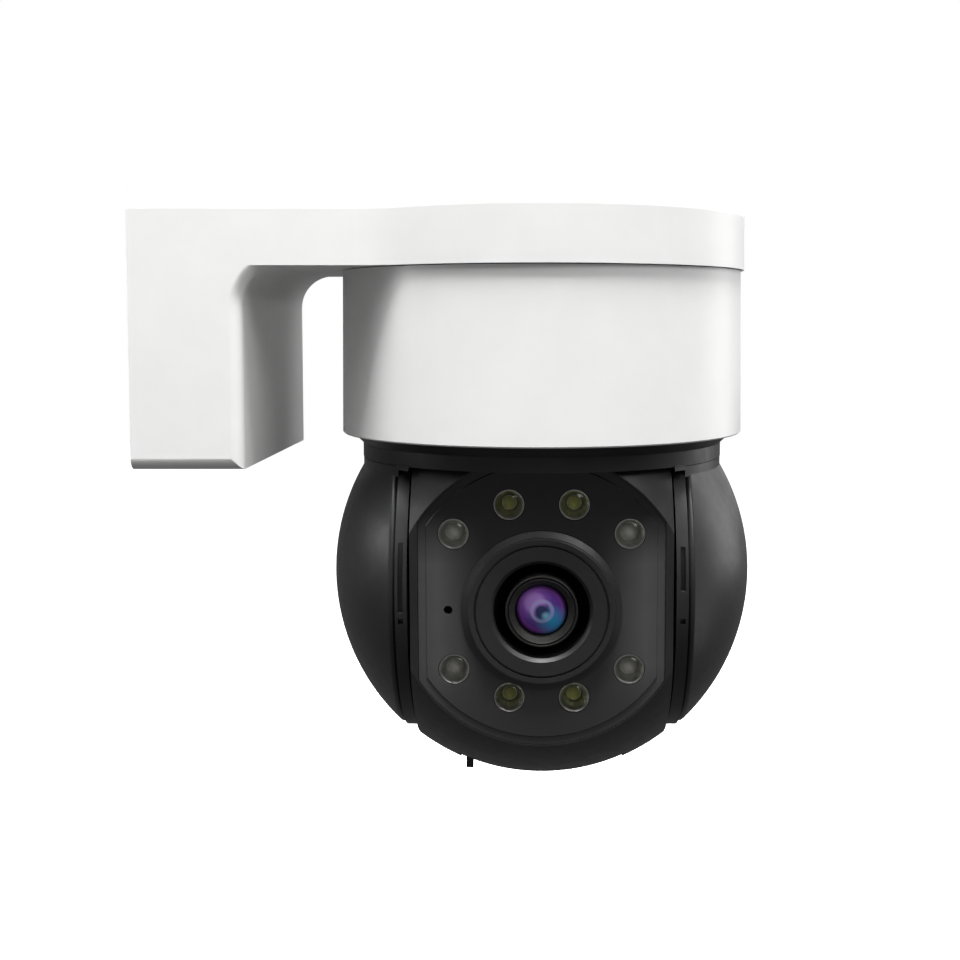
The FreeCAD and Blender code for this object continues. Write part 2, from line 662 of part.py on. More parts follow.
def tilt_pinion():
    start = BALL + V(TILT_GEAR_X - 0.1, 0, -TILT_CENTRES)
    half_step = math.pi / TILT_PINION_TEETH
    wheel = gear(TILT_MODULE, TILT_PINION_TEETH, start, X_AXIS, Z_AXIS, TILT_GEAR_T + 0.2, half_step)
    return join([wheel, side_rod(1.0, TILT_GEAR_X - 4.5, TILT_GEAR_X + 0.5, 0, -TILT_CENTRES)])


def tilt_gear():
    start = BALL + V(TILT_GEAR_X, 0, 0)
    wheel = gear(TILT_MODULE, TILT_TEETH, start, X_AXIS, V(0, 0, -1), TILT_GEAR_T)
    hub = side_rod(5.4, TILT_GEAR_X - 1.4, TILT_GEAR_X + TILT_GEAR_T)
    return join([wheel, hub]).cut(side_rod(TILT_SHAFT_R, 30, 60))


def tilt_shaft():
    wall = HEAD_HALF - HEAD_WALL
    flange = side_rod(7.5, wall - 2.0, wall)
    return join([flange, side_rod(TILT_SHAFT_R, wall - 1, TILT_GEAR_X + TILT_GEAR_T + 0.4)])


def tilt_pivot():
    wall = HEAD_HALF - HEAD_WALL
    flange = side_rod(7.6, -wall, -wall + 2.0)
    shape = join([flange, side_rod(PIVOT_R, -PLATE_OUT - 2.6, -wall + 1)])
    return shape.cut(side_rod(PIVOT_R - 1.4, -60, 0))


# ---- head shells, drawn level ----
def truncated_ball(radius, half, front):
    return ball(radius).common(ball_box(-half, half, -front, 60, -60, 60))


def window_prism(radius, half, d0, d1):
    return front_rod(radius, d0, d1).common(ball_box(-half, half, -60, 0, -60, 60))


def head_hollow():
    return truncated_ball(HEAD_R - HEAD_WALL, HEAD_HALF - HEAD_WALL, FRONT_D - WINDOW_T - 1.6)


def door_wedge(half, angle_from, angle_to):
    """A wedge from the tilt axis that covers the card door's patch of the ball."""
    points = [BALL + V(-half, 0, 0)]
    for angle in (angle_from, (angle_from + angle_to) / 2, angle_to):
        a = math.radians(angle)
        points.append(BALL + V(-half, -90 * math.cos(a), -90 * math.sin(a)))
    return Part.Face(Part.makePolygon(points + [points[0]])).extrude(V(2 * half, 0, 0))


def hinge_point():
    a = math.radians(HINGE_ANGLE)
    return V(0, -HINGE_RADIUS * math.cos(a), -HINGE_RADIUS * math.sin(a))


def head_front_shell():
    shape = truncated_ball(HEAD_R, HEAD_HALF, FRONT_D).cut(head_hollow())
    shape = shape.common(ball_box(-60, 60, -60, PARTING_Y, -60, 60))
    shape = shape.cut(window_prism(WINDOW_R + 0.1, WINDOW_HALF + 0.1, FRONT_D - WINDOW_T, 60))
    shape = shape.cut(window_prism(WINDOW_R - 2.0, WINDOW_HALF - 2.0, 20, 60))
    hinge = hinge_point()
    opening = door_wedge(DOOR_HALF + DOOR_GAP, DOOR_FROM - 0.4, DOOR_TO + 0.3)
    shape = shape.cut(opening.common(ball(60)).cut(ball(40)))
    strap_way = door_wedge(KNUCKLE_HALF + 0.4, DOOR_TO - 1, HINGE_ANGLE).common(ball(60)).cut(ball(46.5))
    holes = [
        strap_way,
        side_rod(KNUCKLE_R + 0.6, -KNUCKLE_HALF - 0.4, KNUCKLE_HALF + 0.4, hinge.y, hinge.z),
        side_rod(PIN_R, -17.5, 17.5, hinge.y, hinge.z),
        side_rod(PIVOT_R, -40, -20),
        side_rod(TILT_SHAFT_R, 20, 40),
    ]
    return cut_all(shape, holes)


def head_rear_shell():
    shape = ball(HEAD_R).common(ball_box(-HEAD_HALF, HEAD_HALF, PARTING_Y + 0.15, 60, -60, 60))
    shape = shape.cut(head_hollow())
    pillars = [rod(3.2, BALL + V(x, PARTING_Y + 0.2, z), BALL + V(x, 60, z)).common(ball(HEAD_R - 1))
               for x, z in REAR_SCREWS]
    shape = join([shape] + pillars)
    holes = []
    for x, z in REAR_SCREWS:
        holes.append(rod(1.5, BALL + V(x, 0, z), BALL + V(x, 60, z)))
        holes.append(rod(2.9, BALL + V(x, REAR_HEAD_Y, z), BALL + V(x, 60, z)))
    for ring, count in ((0, 1), (3.4, 6), (6.8, 12)):
        for k in range(count):
            a = 2 * math.pi * k / count
            start = BALL + V(ring * math.cos(a), 40, ring * math.sin(a))
            holes.append(rod(0.75, start, start + V(0, 15, 0)))
    return cut_all(shape, holes)


def head_seal():
    """A flat rubber ring just inside the shells' parting plane."""
    slab = ball_box(-60, 60, PARTING_Y - 1.4, PARTING_Y + 1.4, -60, 60)
    outer = truncated_ball(HEAD_R - HEAD_WALL - 0.05, HEAD_HALF - HEAD_WALL - 0.05, 60)
    inner = truncated_ball(HEAD_R - HEAD_WALL - 1.1, HEAD_HALF - HEAD_WALL - 1.1, 60)
    return outer.common(slab).cut(inner)


def head_frame():
    """Four posts and a cross plate inside the front shell that take the rear shell's screws."""
    plate = ball_box(-24, 24, PARTING_Y - 6.5, PARTING_Y - 4.5, -28, 28)
    posts = [rod(3.2, BALL + V(x, PARTING_Y - 5, z), BALL + V(x, PARTING_Y, z)) for x, z in REAR_SCREWS]
    arms = [ball_box(*span(side, 23.5, HEAD_HALF - HEAD_WALL - 0.05), PARTING_Y - 6.5, PARTING_Y - 4.5,
                     -12, 12) for side in MIRRORS]
    shape = join([plate] + posts + arms)
    holes = [rod(1.2, BALL + V(x, 0, z), BALL + V(x, 30, z)) for x, z in REAR_SCREWS]
    holes.append(ball_box(-12, 12, 0, 30, -12, 12))
    return cut_all(shape, holes)


def head_screws():
    screws = []
    for x, z in REAR_SCREWS:
        head = rod(2.6, BALL + V(x, REAR_HEAD_Y, z), BALL + V(x, REAR_HEAD_Y + 1.8, z))
        shank = rod(1.2, BALL + V(x, PARTING_Y - 5.5, z), BALL + V(x, REAR_HEAD_Y + 0.5, z))
        screws.append(join([head, shank]))
    return Part.makeCompound(screws)


# ---- head front ----
def led_places():
    places = []
    for offset_x, offset_z in (LED_INNER, LED_OUTER):
        places += [(sx * offset_x, sz * offset_z) for sz in (1, -1) for sx in MIRRORS]
    return places


def front_window():
    back = FRONT_D - WINDOW_T
    rim = window_prism(WINDOW_R, WINDOW_HALF, back, FRONT_D - WINDOW_STEP)
    plateau = window_prism(WINDOW_R - WINDOW_BORDER, WINDOW_HALF - WINDOW_BORDER, back, FRONT_D)
    front_edges = edges_where(plateau, lambda p: abs(p.y + FRONT_D) < NEAR)
    plateau = plateau.makeChamfer(WINDOW_STEP * 0.7, front_edges)
    holes = [lens_rod(COLLAR_R + 0.1, 20, 60), lens_rod(0.95, 20, 60, MIC_X)]
    holes += [front_rod(LED_R + 0.05, 20, 60, x, z) for x, z in led_places()]
    return cut_all(join([rim, plateau]), holes)


def lens_collar():
    back = FRONT_D - WINDOW_T - 1.5
    foot = FRONT_D + 0.05
    floor = COLLAR_FRONT - GROOVE_DEPTH
    return lens_turned([(WELL_R, back), (COLLAR_R, back), (COLLAR_R, foot), (COLLAR_FOOT_R, foot),
                        (COLLAR_FOOT_R, foot + 0.35), (COLLAR_EDGE_R + 0.25, COLLAR_FRONT - 0.45),
                        (COLLAR_EDGE_R + 0.1, COLLAR_FRONT - 0.12), (COLLAR_EDGE_R - 0.15, COLLAR_FRONT),
                        (GROOVE_R, COLLAR_FRONT), (GROOVE_R - 0.1, floor), (GROOVE_R - 0.4, floor),
                        (GROOVE_R - 0.5, COLLAR_FRONT), (WELL_R + 0.75, COLLAR_FRONT),
                        (WELL_R, COLLAR_FRONT - 0.75)])


def lens_hood():
    """The dark dish between collar and barrel."""
    outer_r = WELL_R - 0.05
    inner_r = BARREL_R + 0.15
    return lens_turned([(inner_r, 31.0), (outer_r, 31.0), (outer_r, 35.4), (outer_r - 0.55, 35.4),
                        (outer_r - 0.85, 32.6), (inner_r, 32.2)])


def lens_barrel():
    lip_r = BARREL_R - 0.35
    seat_r = RETAINER_R + 0.05
    bore_r = ELEMENT_R + 0.1
    return lens_turned([(bore_r, 18.0), (BARREL_TUBE_R, 18.0), (BARREL_TUBE_R, 31.0), (BARREL_R, 32.0),
                        (BARREL_R, BARREL_FRONT - 0.2), (BARREL_R - 0.2, BARREL_FRONT),
                        (lip_r, BARREL_FRONT), (seat_r, BARREL_FRONT - 0.5), (seat_r, LENS_SEAT_D),
                        (bore_r, LENS_SEAT_D)])


def lens_ring():
    inner_r = GLASS_R + 0.05
    return lens_turned([(inner_r, LENS_SEAT_D), (RETAINER_R, LENS_SEAT_D), (RETAINER_R, BARREL_FRONT - 0.2),
                        (RETAINER_R - 0.15, BARREL_FRONT - 0.05), (RETAINER_R - 0.3, BARREL_FRONT - 0.2),
                        (inner_r, BARREL_FRONT - 0.9)])


def lens_disc(radius, back, edge, bulge):
    """A lens: flat back, short straight edge and a domed front."""
    sphere_r = (radius ** 2 + bulge ** 2) / (2 * bulge)
    body = lens_rod(radius, back, edge + bulge)
    dome = Part.makeSphere(sphere_r, BALL + V(0, -(edge + bulge - sphere_r), LENS_Z))
    return body.common(dome)


def lens_holder():
    base = lens_box(-9, 9, 8.9, 20.0, -9, 9)
    barrel_seat = lens_rod(8.0, 19, 30.0)
    shape = join([base, barrel_seat])
    holes = [lens_rod(BARREL_TUBE_R, 15.5, 40), lens_rod(4.5, 5, 20)]
    holes.append(lens_box(-6.5, 6.5, 5, 12.5, -6.5, 6.5))
    holes.append(lens_box(-12, 12, FILTER_D - 0.4, FILTER_D + 0.4 + FILTER_T, -4.9, 4.9))
    return cut_all(shape, holes)


def filter_shuttle():
    frame = lens_box(-8.5, 4.0, FILTER_D, FILTER_D + FILTER_T, -4.5, 4.5)
    return frame.cut(lens_rod(1.6, 5, 20, -5.5, 2.2))


def sensor_board():
    return lens_box(-14, 14, 7.2, 8.8, -14, 14)


def image_sensor():
    return lens_box(-4.5, 4.5, 8.8, 10.0, -4.0, 4.0)


def led_board():
    shape = window_prism(29.0, 25.2, LED_BOARD_D - 1.6, LED_BOARD_D)
    holes = [lens_rod(12.5, 20, 60)]
    holes += [front_rod(1.2, 20, 60, x, z) for x, z in BOARD_MARKS]
    return cut_all(shape, holes)


def led_board_screws():
    screws = [join([front_rod(1.9, LED_BOARD_D, LED_BOARD_D + 1.0, x, z),
                    front_rod(1.15, LED_BOARD_D - 3.5, LED_BOARD_D + 0.5, x, z)]) for x, z in BOARD_MARKS]
    return Part.makeCompound(screws)


def led_chips(offsets):
    chips = []
    for sx in MIRRORS:
        for sz in MIRRORS:
            x = sx * offsets[0]
            z = sz * offsets[1]
            chips.append(ball_box(x - 1.3, x + 1.3, -LED_BOARD_D - 0.8, -LED_BOARD_D, z - 1.3, z + 1.3))
    return Part.makeCompound(chips)


def led_lenses():
    lenses = []
    cap_r = (LED_R ** 2 + LED_CAP_H ** 2) / (2 * LED_CAP_H)
    for x, z in led_places():
        body = front_rod(LED_R, LED_BOARD_D, LED_TIP, x, z)
        dome = Part.makeSphere(cap_r, BALL + V(x, -(LED_TIP - cap_r), z))
        cavity = front_rod(2.2, LED_BOARD_D - 1, LED_BOARD_D + 1.6, x, z)
        lenses.append(body.common(dome).cut(cavity))
    return Part.makeCompound(lenses)


def microphone():
    return lens_rod(3.0, LED_BOARD_D, LED_BOARD_D + 1.3, MIC_X)


def speaker():
    start = BALL + V(0, SPEAKER_Y, 0)
    cone = Part.makeCone(6.0, 12.0, 5.0, start, Y_AXIS)
    rim = rod(13.0, start + V(0, 5.0, 0), start + V(0, 6.2, 0))
    magnet = rod(6.0, start + V(0, -3, 0), start)
    return join([cone, rim, magnet])


# ---- card bay ----
def io_board():
    return ball_box(-16, 16, -2, -0.4, -43, -22)


def card_socket():
    """The memory card socket, and beside it the body of the reset switch."""
    socket = ball_box(-8, 7, -4.6, -2, -43.4, -28.5).cut(ball_box(-6.2, 5.2, -4.0, -2.8, -44, -30))
    switch = ball_box(RESET_X - 2.5, RESET_X + 2.5, -6.0, -2, -40.5, -36)
    switch = switch.cut(side_up(1.3, RESET_X, RESET_Y, -41, -37))
    return Part.makeCompound([socket, switch])


def side_up(radius, x, y, z0, z1):
    """An upright rod placed from the ball's centre."""
    return rod(radius, BALL + V(x, y, z0), BALL + V(x, y, z1))


def reset_button():
    return side_up(1.23, RESET_X, RESET_Y, -43.0, -38.3)


def card_door():
    patch = door_wedge(DOOR_HALF, DOOR_FROM, DOOR_TO - 0.4)
    skin = ball(HEAD_R - 0.3).cut(ball(HEAD_R - HEAD_WALL + 0.1)).common(patch)
    hinge = hinge_point()
    a = math.radians(DOOR_TO - 2.5)
    knuckle = side_rod(KNUCKLE_R, -KNUCKLE_HALF, KNUCKLE_HALF, hinge.y, hinge.z)
    strap_inner = V(0, -47.6 * math.cos(a), -47.6 * math.sin(a))
    strap = ball_box(-KNUCKLE_HALF, KNUCKLE_HALF, strap_inner.y, hinge.y, hinge.z - 0.6, hinge.z + 0.6)
    tab = ball_box(TAB_X - 0.8, TAB_X + 0.8, -18.2, -16.2, -44.7, -41.0)
    return join([skin, strap, knuckle, tab]).cut(side_rod(PIN_R + RUNNING, -20, 20, hinge.y, hinge.z))


def door_pin():
    hinge = hinge_point()
    return side_rod(PIN_R, -17.4, 17.4, hinge.y, hinge.z)


def main():
    os.makedirs("parts", exist_ok=True)
    save("bracket_shell", bracket_shell())
    save("wall_plate", wall_plate())
    save("wall_gasket", wall_gasket())
    save("cable_grommet", cable_grommet())
    save("lock_screws", lock_screws())
    save("base_housing", base_housing())
    save("seam_seal", seam_seal())
    save("housing_screws", housing_screws())
    save("pan_chassis", pan_chassis())
    save("pan_bush", pan_bush())
    save("pan_motor", pan_motor())
    save("pan_motor_screws", pan_motor_screws())
    save("pan_pinion", pan_pinion())
    save("pan_gear", pan_gear())
    save("pan_circlip", pan_circlip())
    save("main_board", main_board())
    save("board_parts", board_parts())
    save("board_screws", board_screws())
    save("radio_antenna", radio_antenna())
    save("yoke_frame", yoke_frame())
    save("left_ear_cover", ear_cover(-1))
    save("right_ear_cover", ear_cover(1))
    save("ear_screws", ear_screws())
    save("left_tilt_bush", tilt_bush(-1, PIVOT_R, 7.0, 9.0))
    save("right_tilt_bush", tilt_bush(1, TILT_SHAFT_R, 5.0, 6.2))
    save("tilt_motor", tilt_motor())
    save("tilt_motor_screws", tilt_motor_screws())
    save("tilt_pinion", tilt_pinion())
    save("tilt_gear", tilt_gear())
    save_head("tilt_shaft", tilt_shaft())
    save_head("tilt_pivot", tilt_pivot())
    save_head("head_front_shell", head_front_shell())
    save_head("head_rear_shell", head_rear_shell())
    save_head("head_seal", head_seal())
    save_head("head_frame", head_frame())
    save_head("head_screws", head_screws())
    save_head("front_window", front_window())
    save_head("lens_collar", lens_collar())
    save_head("lens_hood", lens_hood())
    save_head("lens_barrel", lens_barrel())
    save_head("lens_ring", lens_ring())
    save_head("front_lens", lens_disc(GLASS_R, LENS_SEAT_D, LENS_SEAT_D + 0.7, 1.5))
    save_head("middle_lens", lens_disc(ELEMENT_R, 28.0, 29.2, 1.3))
    save_head("rear_lens", lens_disc(ELEMENT_R, 20.0, 21.2, 0.9))
    save_head("lens_holder", lens_holder())
    save_head("filter_shuttle", filter_shuttle())
    save_head("sensor_board", sensor_board())
    save_head("image_sensor", image_sensor())
    save_head("led_board", led_board())
    save_head("led_board_screws", led_board_screws())
    save_head("white_led_chips", led_chips(LED_INNER))
    save_head("night_led_chips", led_chips(LED_OUTER))
    save_head("led_lenses", led_lenses())
    save_head("microphone", microphone())
    save_head("speaker", speaker())
    save_head("io_board", io_board())
    save_head("card_socket", card_socket())
    save_head("reset_button", reset_button())
    save_head("card_door", card_door())
    save_head("door_pin", door_pin())


main()
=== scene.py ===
import json
import math

import bpy
from mathutils import Matrix, Vector


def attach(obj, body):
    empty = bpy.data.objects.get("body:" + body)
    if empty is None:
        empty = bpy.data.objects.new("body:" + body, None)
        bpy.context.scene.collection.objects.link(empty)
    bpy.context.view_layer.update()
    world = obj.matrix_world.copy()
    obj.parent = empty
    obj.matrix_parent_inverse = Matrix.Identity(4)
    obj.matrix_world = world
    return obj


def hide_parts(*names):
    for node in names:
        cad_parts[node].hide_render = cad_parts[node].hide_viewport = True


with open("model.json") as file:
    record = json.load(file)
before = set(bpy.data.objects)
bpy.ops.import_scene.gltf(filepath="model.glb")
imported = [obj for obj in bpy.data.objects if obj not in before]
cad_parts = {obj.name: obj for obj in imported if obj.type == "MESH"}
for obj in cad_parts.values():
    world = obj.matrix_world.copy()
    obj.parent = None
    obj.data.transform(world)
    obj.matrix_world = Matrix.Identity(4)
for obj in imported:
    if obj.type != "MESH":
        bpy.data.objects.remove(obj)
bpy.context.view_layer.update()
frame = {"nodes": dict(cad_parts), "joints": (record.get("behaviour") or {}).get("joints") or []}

MM = 0.001
NODES = frame["nodes"]
JOINTS = {j["name"]: j for j in frame["joints"]}

# The tilting head has its own frame: x right, -y out of the lens, z up, turned by the rest tilt.
TILT = Vector(JOINTS["tilt"]["pos_m"])
PRESS = Vector(JOINTS["reset_press"]["axis"])
REST_TILT = math.atan2(-PRESS.y, PRESS.z)
HEAD = Matrix.Translation(TILT) @ Matrix.Rotation(REST_TILT, 4, "X")


def head_extent(node):
    """Lowest and highest corner of a CAD node in the head's own frame, in metres."""
    inverse = HEAD.inverted()
    cloud = [inverse @ v.co for v in NODES[node].data.vertices]
    low = Vector([min(p[k] for p in cloud) for k in range(3)])
    high = Vector([max(p[k] for p in cloud) for k in range(3)])
    return low, high


LENS_LOW, LENS_HIGH = head_extent("front_lens")
LENS_UP = (LENS_LOW.z + LENS_HIGH.z) / 2
GLASS_R = (LENS_HIGH.x - LENS_LOW.x) / 2 / MM


# ---------------------------------------------------------------- materials

NOISE_LOW = 0.35
NOISE_HIGH = 0.65


class Look:
    """One node material built around a Principled shader."""

    def __init__(self, name, **values):
        self.material = bpy.data.materials.new(name)
        self.material.use_nodes = True
        self.tree = self.material.node_tree
        self.tree.nodes.clear()
        self.out = self.add("ShaderNodeOutputMaterial")
        self.shader = self.add("ShaderNodeBsdfPrincipled")
        self.link(self.shader.outputs[0], self.out.inputs["Surface"])
        self.place = self.add("ShaderNodeTexCoord").outputs["Object"]
        for key, value in values.items():
            self.shader.inputs[key.replace("_", " ")].default_value = value

    def add(self, kind, **settings):
        node = self.tree.nodes.new(kind)
        for key, value in settings.items():
            setattr(node, key, value)
        return node

    def link(self, source, target):
        self.tree.links.new(source, target)

    def noise(self, feature_mm, detail=3.0, stretch=None):
        """Noise whose features are about this many millimetres across."""
        node = self.add("ShaderNodeTexNoise")
        node.inputs["Scale"].default_value = 1.0 / (feature_mm * MM)
        node.inputs["Detail"].default_value = detail
        where = self.place
        if stretch:
            mapping = self.add("ShaderNodeMapping")
            mapping.inputs["Scale"].default_value = stretch
            self.link(where, mapping.inputs["Vector"])
            where = mapping.outputs[0]
        self.link(where, node.inputs["Vector"])
        return node.outputs["Fac"]

    def spread(self, source, low, high):
        """Maps the usual range of a noise to low..high."""
        node = self.add("ShaderNodeMapRange")
        node.inputs["From Min"].default_value = NOISE_LOW
        node.inputs["From Max"].default_value = NOISE_HIGH
        node.inputs["To Min"].default_value = low
        node.inputs["To Max"].default_value = high
        self.link(source, node.inputs["Value"])
        return node.outputs["Result"]

    def ramp(self, source, stops):
        node = self.add("ShaderNodeValToRGB")
        points = node.color_ramp.elements
        while len(points) < len(stops):
            points.new(0.5)
        for point, (position, colour) in zip(points, stops):
            point.position = position
            point.color = (*colour, 1.0)
        self.link(source, node.inputs["Fac"])
        return node.outputs["Color"]

    def math(self, operation, first, second=None):
        node = self.add("ShaderNodeMath", operation=operation)
        for socket, value in zip(node.inputs, (first, second)):
            if value is None:
                continue
            if isinstance(value, (int, float)):
                socket.default_value = value
            else:
                self.link(value, socket)
        return node.outputs[0]

    def mix(self, factor, first, second, blend="MIX"):
        node = self.add("ShaderNodeMix", data_type="RGBA", blend_type=blend)
        for socket, value in ((node.inputs[0], factor), (node.inputs[6], first), (node.inputs[7], second)):
            if isinstance(value, (int, float)):
                socket.default_value = value
            elif isinstance(value, tuple):
                socket.default_value = (*value, 1.0)
            else:
                self.link(value, socket)
        return node.outputs[2]

    def colour(self, source):
        self.link(source, self.shader.inputs["Base Color"])

    def rough(self, source):
        self.link(source, self.shader.inputs["Roughness"])

    def bump(self, source, depth_mm, strength=1.0):
        node = self.add("ShaderNodeBump")
        node.inputs["Distance"].default_value = depth_mm * MM
        node.inputs["Strength"].default_value = strength
        self.link(source, node.inputs["Height"])
        self.link(node.outputs[0], self.shader.inputs["Normal"])

    def mottle(self, base, variation, feature_mm):
        """A colour that drifts a little around base."""
        low = tuple(c * (1 - variation) for c in base)
        high = tuple(min(1.0, c * (1 + variation)) for c in base)
        self.colour(self.ramp(self.noise(feature_mm), [(NOISE_LOW, low), (NOISE_HIGH, high)]))
        return self


def moulded(name, base, rough, grain_mm, grain_depth, variation=0.03, **values):
    """Moulded plastic or rubber: slight colour drift, uneven gloss and a fine grain."""
    look = Look(name, **values)
    look.mottle(base, variation, 9.0)
    look.rough(look.spread(look.noise(2.5), rough - 0.03, rough + 0.03))
    look.bump(look.noise(grain_mm, 2.0), grain_depth)
    return look.material


def metal(name, base, rough, **values):
    """Turned or plated metal with fine marks."""
    look = Look(name, Metallic=1.0, **values)
    look.mottle(base, 0.06, 1.5)
    look.rough(look.spread(look.noise(0.5), rough - 0.05, rough + 0.06))
    look.bump(look.noise(0.12, 1.0), 0.004)
    return look.material


WHITE = moulded("white_plastic", (0.80, 0.80, 0.795), 0.36, 0.7, 0.004, 0.012,
                Coat_Weight=0.15, Coat_Roughness=0.25)
BLACK = moulded("black_plastic", (0.0150, 0.0150, 0.0155), 0.38, 0.35, 0.004, 0.12,
                Specular_IOR_Level=0.40)
EAR_BLACK = moulded("ear_plastic", (0.0130, 0.0130, 0.0134), 0.36, 0.35, 0.004, 0.12,
                    Specular_IOR_Level=0.45)
COLLAR = moulded("collar_plastic", (0.0190, 0.0190, 0.0195), 0.40, 0.25, 0.004, 0.12,
                 Specular_IOR_Level=0.45)
WELL = moulded("well_black", (0.002, 0.002, 0.002), 0.80, 0.2, 0.004, 0.2, Specular_IOR_Level=0.06)
RUBBER = moulded("rubber", (0.0085, 0.0085, 0.0085), 0.52, 0.3, 0.006, 0.15, Specular_IOR_Level=0.40)
STEEL = metal("zinc_steel", (0.62, 0.62, 0.60), 0.32)
CAN = metal("motor_can", (0.48, 0.48, 0.47), 0.28)
BRASS = metal("bush_metal", (0.60, 0.47, 0.26), 0.35)
BARREL = moulded("lens_metal", (0.022, 0.021, 0.020), 0.46, 0.25, 0.003, 0.12, Specular_IOR_Level=0.22)
CHASSIS = moulded("chassis_plastic", (0.10, 0.10, 0.11), 0.48, 0.4, 0.006, 0.08)
NYLON = moulded("gear_nylon", (0.62, 0.60, 0.54), 0.42, 0.3, 0.004, 0.03, Subsurface_Weight=0.1)
PARTS = moulded("components", (0.035, 0.035, 0.038), 0.45, 0.3, 0.006, 0.2)
SOCKET = metal("socket_metal", (0.70, 0.70, 0.68), 0.22)


def board_look(name, base):
    """Lacquered circuit board with copper tracks under the lacquer."""
    look = Look(name, Coat_Weight=0.5, Coat_Roughness=0.15)
    tracks = look.add("ShaderNodeTexVoronoi", feature="DISTANCE_TO_EDGE", distance="CHEBYCHEV")
    tracks.inputs["Scale"].default_value = 1.0 / (2.2 * MM)
    look.link(look.place, tracks.inputs["Vector"])
    lines = look.ramp(tracks.outputs["Distance"], [(0.03, tuple(c * 2.2 for c in base)), (0.06, base)])
    look.colour(lines)
    look.rough(look.spread(look.noise(1.2), 0.35, 0.5))
    look.bump(tracks.outputs["Distance"], 0.03, 0.4)
    return look.material


BOARD = board_look("circuit_board", (0.012, 0.075, 0.030))
LAMP_BOARD = board_look("lamp_board", (0.02, 0.02, 0.02))


def lens_radius(look, offset=(0.0, 0.0)):
    """Distance from the lens axis in millimetres, in the head's own frame."""
    split = look.add("ShaderNodeSeparateXYZ")
    look.link(look.place, split.inputs[0])
    across = look.math("SUBTRACT", split.outputs[0], TILT.x + offset[0] * MM)
    up = head_height(look, split)
    up = look.math("SUBTRACT", up, offset[1] * MM)
    squares = look.math("ADD", look.math("MULTIPLY", across, across), look.math("MULTIPLY", up, up))
    return look.math("MULTIPLY", look.math("SQRT", squares), 1.0 / MM)


def head_height(look, split):
    """Height above the lens axis, in metres, along the head's own up direction."""
    up = HEAD.to_3x3() @ Vector((0, 0, 1))
    along = look.math("ADD", look.math("MULTIPLY", split.outputs[1], up.y),
                      look.math("MULTIPLY", split.outputs[2], up.z))
    return look.math("SUBTRACT", along, up.dot(TILT) + LENS_UP)


# Window size and the height over which its painted reflection fades, in millimetres.
WINDOW_HALF_WIDTH = 30.0
WINDOW_TOP = 24.0
WINDOW_DROP = 50.0


def window_look():
    """Smoked acrylic: near black, with a painted reflection: darkest at the top centre, lighter towards the
    left and right edges and towards the bottom.
    """
    look = Look("smoked_window", IOR=1.49, Specular_IOR_Level=0.32)
    split = look.add("ShaderNodeSeparateXYZ")
    look.link(look.place, split.inputs[0])
    across = look.math("ABSOLUTE", look.math("SUBTRACT", split.outputs[0], TILT.x))
    # Painted reflection: lighter towards the left and right edges, none across the centre.
    painted_side_reflection = look.ramp(look.math("MULTIPLY", across, 1.0 / (WINDOW_HALF_WIDTH * MM)),
                      [(0.40, (0.0, 0.0, 0.0)), (0.75, (1.0, 1.0, 1.0)), (0.92, (0.6, 0.6, 0.6))])
    below_top = look.math("SUBTRACT", WINDOW_TOP * MM, head_height(look, split))
    drop = look.math("MULTIPLY", below_top, 1.0 / (WINDOW_DROP * MM))
    # Painted reflection: the window is painted darkest at the top and lighter towards the bottom.
    low = look.ramp(drop, [(0.0, (0.0040, 0.0040, 0.0041)), (0.30, (0.016, 0.016, 0.0164)),
                           (0.60, (0.022, 0.022, 0.0225)), (0.92, (0.028, 0.028, 0.0285))])
    # Height profile of the painted reflection at the left and right edges.
    middle = look.ramp(drop, [(0.06, (0.0, 0.0, 0.0)), (0.28, (1.0, 1.0, 1.0)), (0.72, (0.8, 0.8, 0.8)),
                              (0.92, (0.15, 0.15, 0.15))])
    painted_reflection_mask = look.math("MULTIPLY", painted_side_reflection, middle)
    # The painted reflection is mixed in as a lighter grey.
    base = look.mix(painted_reflection_mask, low, (0.084, 0.083, 0.085))
    drift = look.ramp(look.noise(14.0), [(NOISE_LOW, (0.9, 0.9, 0.9)), (NOISE_HIGH, (1.0, 1.0, 1.0))])
    look.colour(look.mix(1.0, base, drift, "MULTIPLY"))
    look.rough(look.spread(look.noise(3.0), 0.17, 0.21))
    look.bump(look.noise(18.0, 1.0), 0.02)
    return look.material


WINDOW = window_look()


